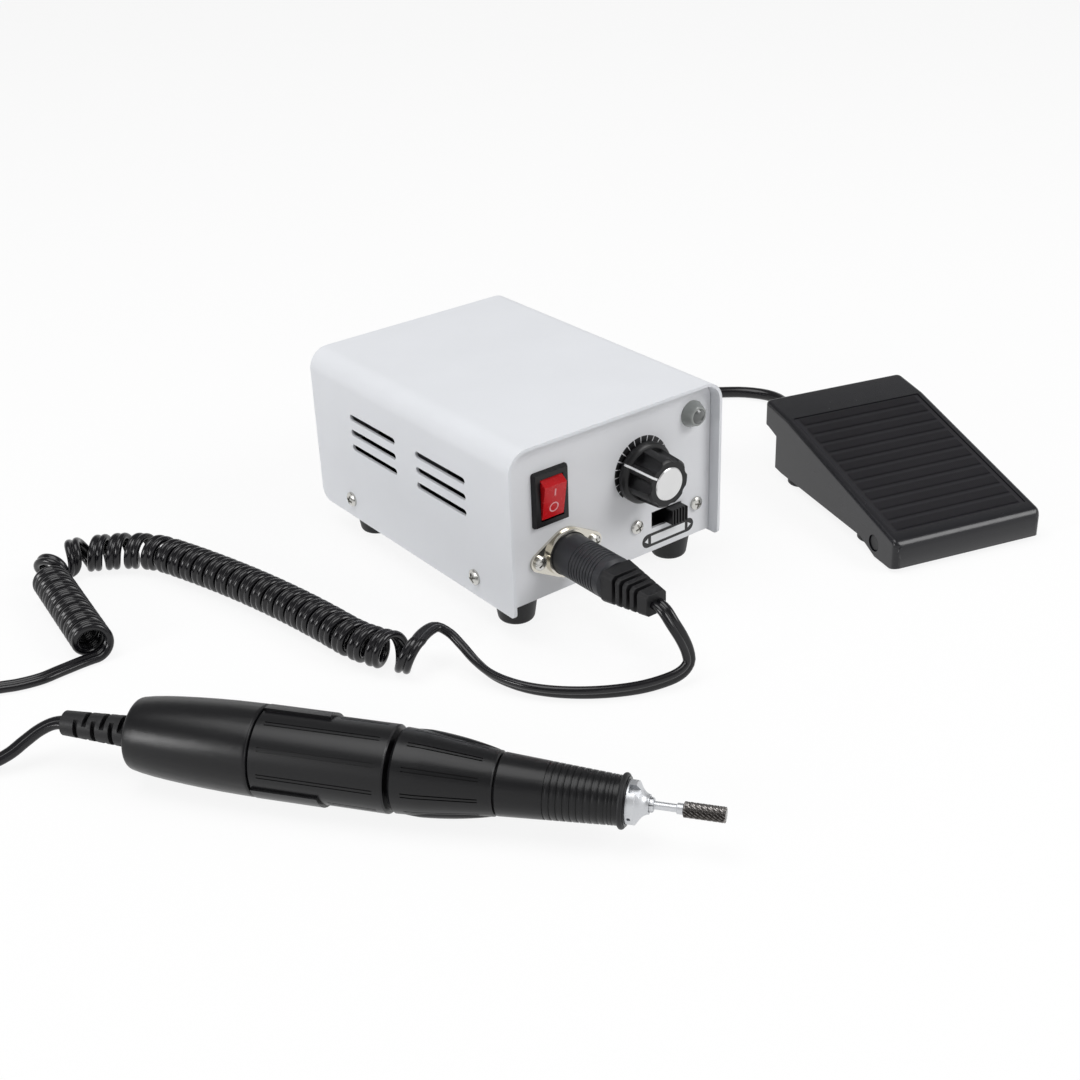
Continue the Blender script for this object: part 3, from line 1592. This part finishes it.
@dataclass
class GripPads:
    """The two leaf-shaped pads on the twist sleeve.

    Attributes:
        start: Rear end of the sleeve along the handpiece.
        swell: Distance along the sleeve and radius there.
        ends: Where a pad begins and ends along the sleeve.
        half_angle: Half of a pad's widest angle, in degrees.
        rise: Height of a pad.
        turns: Angles of the pads, in degrees.
        grid: Facets along a pad and across it.
        point: Power that sets how pointed a leaf's ends are.
        crown: Power that sets how flat a pad is across.
        sunk: Depth of a pad's edge in the sleeve.
        thick: Thickness of a pad under its edge.
    """

    start: float = 85.3
    swell: tuple[Pair, ...] = ((0.8, 12.7), (8.0, 12.35), (19.0, 11.0), (29.9, 9.6))
    ends: Pair = (3.0, 29.6)
    half_angle: float = 14.5
    rise: float = 0.85
    turns: Pair = (320.0, 140.0)
    grid: tuple[int, int] = (36, 14)
    point: float = 0.7
    crown: float = 3.0
    sunk: float = 0.12
    thick: float = 0.4

    def radius(self, z: float) -> float:
        """Find the sleeve's radius.

        Args:
            z: Distance along the sleeve.

        Returns:
            The radius there.
        """
        for (z0, r0), (z1, r1) in zip(self.swell, self.swell[1:]):
            if z <= z1:
                return r0 + (r1 - r0) * (z - z0) / (z1 - z0)
        return self.swell[-1][1]

    def build(self) -> None:
        """Bend a grid over the sleeve for each pad, and close it underneath."""
        rear, front = self.ends
        along_it, across_it = self.grid
        pads = Solid()
        for turn in self.turns:
            pad = Solid()
            bmesh.ops.create_grid(pad.bm, x_segments=along_it, y_segments=across_it, size=1.0)
            made = bmesh.ops.extrude_face_region(pad.bm, geom=pad.bm.faces[:], use_keep_orig=True)
            inner = set(verts_in(made))
            for vert in pad.bm.verts:
                along, across = vert.co.x / 2 + 0.5, vert.co.y
                z = rear + (front - rear) * along
                leaf = math.sin(math.pi * min(1.0, max(0.0, along))) ** self.point
                a = math.radians(turn + self.half_angle * leaf * across)
                high = self.rise * leaf * (1 - abs(across) ** self.crown)
                r = self.radius(z) - self.sunk + (-self.thick if vert in inner else high)
                vert.co = (r * math.cos(a), r * math.sin(a), self.start + z)
            pads.take(pad)
        pads.place(Frames.HAND)
        pads.piece("sleeve_pads", "sleeve", Finishes.ANODISED)


@dataclass
class NoseTip:
    """The steel nose cap: a ring with a tool hole and a notch, flaring in to the collet.

    Attributes:
        start: Front end of the nose along the handpiece.
        ring: Length of the ring.
        length: Length of the ring and the flare.
        radius: Radius of the ring.
        edges: Width of the chamfers behind the ring and before it.
        throat: Radius of the flare's front end.
        flare_steps: Facets along the flare.
        spigot: Outer radius and length of the spigot in the nose.
        bore: Radius of the bore in the spigot, and of the bore in the flare.
        seat: Length of the cone between the two bores.
        notch_turn: Angle of the notch, in degrees.
        notch: Two opposite corners of the notch, out from the axis and across.
        notch_z: Where the notch begins and ends along the cap.
        hole_turn: Angle of the tool hole, in degrees.
        hole: Radius and depth of the tool hole's cutter, and its start out from the axis.
    """

    start: float = 153.3
    ring: float = 2.6
    length: float = 6.2
    radius: float = 6.4
    edges: Pair = (0.15, 0.1)
    throat: float = 2.9
    flare_steps: int = 16
    spigot: Pair = (4.9, 4.6)
    bore: Pair = (3.3, 2.4)
    seat: float = 0.6
    notch_turn: float = 197.5
    notch: tuple[Pair, Pair] = ((4.4, -1.5), (8.4, 1.5))
    notch_z: Pair = (0.6, 6.6)
    hole_turn: float = 283.5
    hole: Point = (0.6, 3.0, 5.0)

    def build(self) -> None:
        """Turn the cap, and cut its notch and its tool hole."""
        low, r = self.start, self.radius
        mid, front = low + self.ring, low + self.length
        flare = []
        for i in range(1, self.flare_steps + 1):
            share = i / self.flare_steps
            reach = self.throat + (r - self.throat) * (1 - share) ** 2
            flare.append((reach, mid + (front - mid) * share))
        wide, narrow = self.bore
        out_r, deep = self.spigot
        spigot = [(wide, low - deep), (out_r, low - deep), (out_r, low)]
        rear, fore = self.edges
        ring = [(r - rear, low), (r, low + rear), (r, mid - fore), (r - fore, mid)]
        bore = [(narrow, front), (narrow, mid), (wide, mid - self.seat), (wide, low - deep)]
        tip = Solid()
        tip.turn([*spigot, *ring, *flare, *bore], 72)
        (x0, y0), (x1, y1) = self.notch
        notch = Solid()
        notch.prism(rectangle(x0, y0, x1, y1), *(low + z for z in self.notch_z))
        notch.place(turned(self.notch_turn, "Z"))
        tip.cut(notch)
        hole_r, depth, begin = self.hole
        hole = Solid()
        hole.turn([(0, 0), (hole_r, 0), (hole_r, depth), (0, depth)], 24)
        inward = shifted(begin, 0, low + self.ring / 2) @ turned(90, "Y")
        hole.place(turned(self.hole_turn, "Z") @ inward)
        tip.cut(hole)
        tip.place(Frames.HAND)
        tip.piece("nose_tip", "set", Finishes.GROUND, ("nose_cap",))


@dataclass
class CuttingBur:
    """The bur: a bright shank with a collar, and a dark head with crossed flutes.

    Attributes:
        shank_from: Rear end of the shank along the handpiece.
        collar_from: Rear end of the collar.
        head_from: Rear end of the head.
        head_len: Length of the head.
        shank_r: Radius of the shank.
        collar_r: Radius of the collar.
        head_r: Radius of the head.
        teeth: Flutes round the head.
        twist: Turns of a flute along the head.
        rings: Sections along the head.
        chamfers: Width of the chamfers on the shank and on the collar.
        roots: Radius of the head before a tooth and behind it.
        shares: Where a tooth's foot, its land's two ends and its back lie, as shares of its pitch.
        notch: Depth of the cross flutes.
        notch_every: Sections from one cross flute to the next.
        ends: Share of the head's radius at its two ends.
    """

    shank_from: float = 137.3
    collar_from: float = 167.2
    head_from: float = 169.2
    head_len: float = 12.0
    shank_r: float = 1.175
    collar_r: float = 1.6
    head_r: float = 2.3
    teeth: int = 14
    twist: float = 0.55
    rings: int = 72
    chamfers: Pair = (0.25, 0.2)
    roots: Pair = (1.86, 1.94)
    shares: tuple[float, ...] = (0.0, 0.12, 0.34, 0.7)
    notch: float = 0.22
    notch_every: int = 7
    ends: float = 0.9

    def build(self) -> None:
        """Turn the shank, and sweep the toothed section along the head."""
        r, c = self.shank_r, self.collar_r
        low, neck, high = self.shank_from, self.collar_from, self.head_from
        tail, edge = self.chamfers
        rod = [(0, low), (r - tail, low), (r, low + tail), (r, neck)]
        collar = [(c - edge, neck), (c, neck + edge), (c, high - edge), (c - edge, high), (0, high)]
        shank = Solid()
        shank.turn([*rod, *collar], 32)
        shank.place(Frames.HAND)
        shank.piece("bur_shank", "bur", Finishes.GROUND, ("bur",))
        line = [Vector((0, 0, high + self.head_len * i / self.rings)) for i in range(self.rings + 1)]
        wides = []
        for i in range(self.rings + 1):
            a = math.tau * self.twist * i / self.rings
            wides.append(Vector((math.cos(a), math.sin(a), 0)))
        head = sweep(line, wides, [self._section(i) for i in range(self.rings + 1)])
        head.place(Frames.HAND)
        head.piece("bur_head", "bur", Finishes.CARBIDE, smooth=20)

    def _section(self, ring: int) -> Outline:
        """Draw the toothed section of one ring: a steep face, a land and a sloping back.

        Args:
            ring: Number of the section along the head.

        Returns:
            Its corners in order.
        """
        ends = self.ends if ring in (0, self.rings) else 1.0
        front, back = (root * ends for root in self.roots)
        outline = []
        for tooth in range(self.teeth):
            crossed = (tooth * 3 + ring) % self.notch_every == 0
            top = self.head_r * ends - (self.notch if crossed else 0.0)
            for share, r in zip(self.shares, (front, top, top, back)):
                a = math.tau * (tooth + share) / self.teeth
                outline.append((r * math.cos(a), r * math.sin(a)))
        return outline


@dataclass
class TreadMat:
    """The rubber mat in the treadle: cross strips with fine ribs.

    Attributes:
        width: Width of the mat.
        length: Length of the mat.
        start: Distance from the treadle's front edge.
        strips: Strips across the mat.
        step: Distance from strip to strip.
        pitch: Distance from rib to rib.
        mat_z: Heights of the mat's under side and top.
        strip_z: The same of a strip.
        rib_z: Heights of a rib's web, its foot and its top.
        rib_half: Half width of a rib at its foot and at its top.
        margin: Distance from the mat's edge to the strips.
        comb_margin: Distance from a strip's end to the ribs' web.
        lead: Distance from a step's start to its strip.
        valley: Distance between two strips.
        inset: Distance from a strip's edge to the ribs' ends.
        hinge: Place of the sloping top's front edge on the pedal, as its Y and Z.
        slope: Slope of the top, in degrees.
    """

    width: float = 57.7
    length: float = 75.7
    start: float = 4.15
    strips: int = 12
    step: float = 76 / 12
    pitch: float = 0.8
    mat_z: Pair = (-1.2, -0.4)
    strip_z: Pair = (-0.45, -0.3)
    rib_z: Point = (-0.38, -0.3, 0.2)
    rib_half: Pair = (0.33, 0.2)
    margin: float = 1.5
    comb_margin: float = 0.2
    lead: float = 0.6
    valley: float = 1.5
    inset: float = 0.3
    hinge: Pair = (2.6, 12.9)
    slope: float = 12.05

    def build(self) -> None:
        """Lay the mat, and extrude each strip and its comb of ribs."""
        half = self.width / 2
        mat = Solid()
        mat.prism(rectangle(-half, 0, half, self.length), *self.mat_z)
        reach = half - self.margin
        ribs = int(2 * reach / self.pitch) - 1
        web, foot, top = self.rib_z
        wide, narrow = self.rib_half
        comb = [(-reach + self.comb_margin, web)]
        for i in range(ribs):
            x = (i - (ribs - 1) / 2) * self.pitch
            comb += [(x - wide, foot), (x - narrow, top), (x + narrow, top), (x + wide, foot)]
        comb.append((reach - self.comb_margin, web))
        long = self.step - self.valley
        for i in range(self.strips):
            low = i * self.step + self.lead
            strip = Solid()
            strip.prism(rectangle(-reach, low, reach, low + long), *self.strip_z)
            mat.take(strip)
            teeth = Solid()
            teeth.prism(comb, 0, long - 2 * self.inset)
            teeth.place(shifted(0, low + long - self.inset, 0) @ turned(90, "X"))
            mat.take(teeth)
        top_frame = shifted(0, *self.hinge) @ turned(self.slope, "X")
        mat.place(Frames.PEDAL @ top_frame @ shifted(0, self.start, 0))
        mat.piece("tread_mat", "treadle", Finishes.TREAD, ("pedal_tread",), smooth=20)


@dataclass
class ReturnSpring:
    """The treadle's return spring, with closed end coils.

    Attributes:
        at: Place of its axis on the pedal.
        radius: Radius of the coil's middle line.
        wire: Diameter of the wire.
        turns: Turns, closed ends included.
        steps: Sections in a turn.
        drop: How far the treadle presses it down.
        closed_rise: Rise of a closed coil, as a share of the wire's diameter.
    """

    at: Pair = (0.0, 66.0)
    radius: float = 6.0
    wire: float = 1.0
    turns: int = 6
    steps: int = 24
    drop: float = 4.05
    closed_rise: float = 1.15

    def build(self) -> None:
        """Wind the wire between the base and the treadle, and let it shorten with the treadle."""
        low, high = (corner[2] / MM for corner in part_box("pedal_spring"))
        low += self.wire / 2
        high -= self.wire / 2
        closed = self.closed_rise * self.wire
        # Known fault: the last height stands one place too late, so the last turn falls back
        rises = [0.0, closed, *([0.0] * (self.turns - 1))]
        pitch = (high - low - 2 * closed) / (self.turns - 2)
        for i in range(2, self.turns):
            rises[i] = closed + pitch * (i - 1)
        rises.append(high - low)
        line = []
        for i in range(self.turns * self.steps + 1):
            whole, share = divmod(i / self.steps, 1)
            k = min(int(whole), self.turns - 1)
            rise = rises[k] + (rises[k + 1] - rises[k]) * (share if whole < self.turns else 1.0)
            a = math.tau * i / self.steps
            round_it = self.radius * Vector((math.cos(a), math.sin(a), 0))
            line.append(Vector((*self.at, low + rise)) + round_it)
        section = arc(self.wire / 2, 0, 330, 11)
        spring = sweep(line, [Vector((0, 0, 1))] * len(line), [section] * len(line))
        spring.place(Frames.PEDAL)
        made = spring.piece("return_spring", "set", Finishes.ZINC, ("pedal_spring",), smooth=60)
        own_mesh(made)


@dataclass(frozen=True)
class Softbox:
    """One square soft lamp.

    Attributes:
        name: Name of the lamp.
        at: Its place, in metres.
        size: Its side, in metres.
        power: Its power, in watts.
        aim: The point that it faces, in metres.
    """

    name: str
    at: Point
    size: float
    power: float
    aim: Point = (0, 0, 0.02)

    def hang(self) -> None:
        """Hang the lamp and turn it to its aim."""
        data = bpy.data.lights.new(self.name, "AREA")
        data.shape = "SQUARE"
        data.size = self.size
        data.energy = self.power
        lamp = show(self.name, data)
        lamp.location = self.at
        lamp.rotation_euler = (Vector(self.aim) - lamp.location).to_track_quat("-Z", "Y").to_euler()


@dataclass
class Studio:
    """Camera, pale floor and soft light.

    Attributes:
        eye: The camera's place, in metres.
        azimuth: Its direction round the bench, in degrees.
        elevation: Its height angle, in degrees.
        roll: Its roll, in degrees.
        lens: Focal length on the frame, in millimetres.
        frame: Width of the frame, in millimetres.
        fill: Strength of the plain light from all sides.
        floor_r: Radius of the flat floor, in millimetres.
        bend_r: Radius of the bend at its rim.
        wall_z: Height of the wall behind the bend.
        floor_z: Height of the floor, just under the feet.
        floor_share: Share of plain white in what the eye and the gloss see of the floor.
        lamps: The softboxes.
    """

    eye: Point = (-0.31542, -0.38524, 0.29410)
    azimuth: float = -36.871
    elevation: float = 28.232
    roll: float = -2.148
    lens: float = 53.517
    frame: float = 36.0
    fill: float = 0.3
    floor_r: float = 4500.0
    bend_r: float = 1500.0
    wall_z: float = 2600.0
    floor_z: float = -0.2
    floor_share: float = 0.88
    lamps: tuple[Softbox, ...] = (
        Softbox("key_softbox", (-0.35, 0.12, 1.42), 1.0, 10.4),
        Softbox("left_softbox", (-1.22, 0.1, 0.4), 0.36, 4.8),
        Softbox("right_softbox", (0.58, -0.84, 0.84), 0.6, 7.4),
    )

    def camera(self) -> None:
        """Set the camera at the photograph's angle."""
        a, e, r = (math.radians(v) for v in (self.azimuth, self.elevation, self.roll))
        back = Vector((math.sin(a) * math.cos(e), -math.cos(a) * math.cos(e), math.sin(e)))
        right = Vector((math.cos(a), math.sin(a), 0))
        up = back.cross(right)
        across = math.cos(r) * right + math.sin(r) * up
        upward = -math.sin(r) * right + math.cos(r) * up
        data = bpy.data.cameras.new("camera")
        data.lens = self.lens
        data.sensor_width = self.frame
        camera = show("camera", data)
        turn = Matrix((across, upward, back)).transposed().to_4x4()
        camera.matrix_world = shifted(*self.eye) @ turn
        bpy.context.scene.camera = camera

    @staticmethod
    def _seen(tree: bpy.types.NodeTree) -> bpy.types.NodeSocket:
        """Tell the rays that see the floor from those that it lights.

        Args:
            tree: Node tree of the floor's material.

        Returns:
            1 for rays from the camera, from gloss or through glass, and else 0.
        """
        path = tree.nodes.new("ShaderNodeLightPath")
        rays = [path.outputs[k] for k in ("Is Camera Ray", "Is Glossy Ray", "Is Transmission Ray")]
        either = add_node(tree, "ShaderNodeMath", {0: rays[0], 1: rays[1]}, operation="MAXIMUM")
        return add_node(
            tree, "ShaderNodeMath", {0: either.outputs[0], 1: rays[2]}, operation="MAXIMUM"
        ).outputs[0]

    def world(self) -> None:
        """Fill the room with plain soft light."""
        world = bpy.data.worlds.new("studio")
        world.use_nodes = True
        background = world.node_tree.nodes["Background"]
        background.inputs["Color"].default_value = (1, 1, 1, 1)
        background.inputs["Strength"].default_value = self.fill
        bpy.context.scene.world = world

    def floor(self) -> None:
        """Lay a white floor that keeps the object's soft shadow and curves up far round it."""
        flat, bend, low = self.floor_r, self.bend_r, self.floor_z
        bends = [math.radians(10 * i) for i in range(1, 10)]
        rim = [(flat + bend * math.sin(a), bend * (1 - math.cos(a)) + low) for a in bends]
        dish = Solid()
        dish.turn([(0, low), (flat, low), *rim, (flat + bend, self.wall_z)], 72)
        mesh = dish.mesh("floor")
        paint = bpy.data.materials.new("white_paper_floor")
        paint.use_nodes = True
        tree = paint.node_tree
        shader = tree.nodes["Principled BSDF"]
        shader.inputs["Base Color"].default_value = linear("f4f4f4")
        shader.inputs["Roughness"].default_value = 0.9
        shader.inputs["Specular IOR Level"].default_value = 0.0
        glow = add_node(tree, "ShaderNodeEmission", {"Color": (1, 1, 1, 1), "Strength": 1.0})
        share = add_node(
            tree, "ShaderNodeMath", {0: self._seen(tree), 1: self.floor_share}, operation="MULTIPLY"
        )
        mix = add_node(
            tree,
            "ShaderNodeMixShader",
            {0: share.outputs[0], 1: shader.outputs[0], 2: glow.outputs[0]},
        )
        tree.links.new(mix.outputs[0], tree.nodes["Material Output"].inputs["Surface"])
        mesh.materials.append(paint)
        floor = show("floor", mesh)

    def build(self) -> None:
        """Build the studio."""
        bpy.context.scene.view_settings.view_transform = "Standard"
        self.camera()
        self.world()
        self.floor()
        for lamp in self.lamps:
            lamp.hang()


def main() -> None:
    """Build the studio, the cords and the pieces, in order."""
    logging.basicConfig(level=logging.INFO, format="%(message)s")
    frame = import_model()
    Studio().build()
    CurlyLead().build()
    PedalCord().build()
    nodes = frame["nodes"]
    Finishes.dress(nodes)
    Housings.build(nodes)
    TreadleShell().build(nodes)
    face = (Screws, PanelPrint, SwitchMarks, KnobPointer, InletPins)
    for group in (*face, GripPads, NoseTip, CuttingBur, PivotPin, TreadMat):
        group().build()
    ReturnSpring().build()


if __name__ == "__main__":
    main()
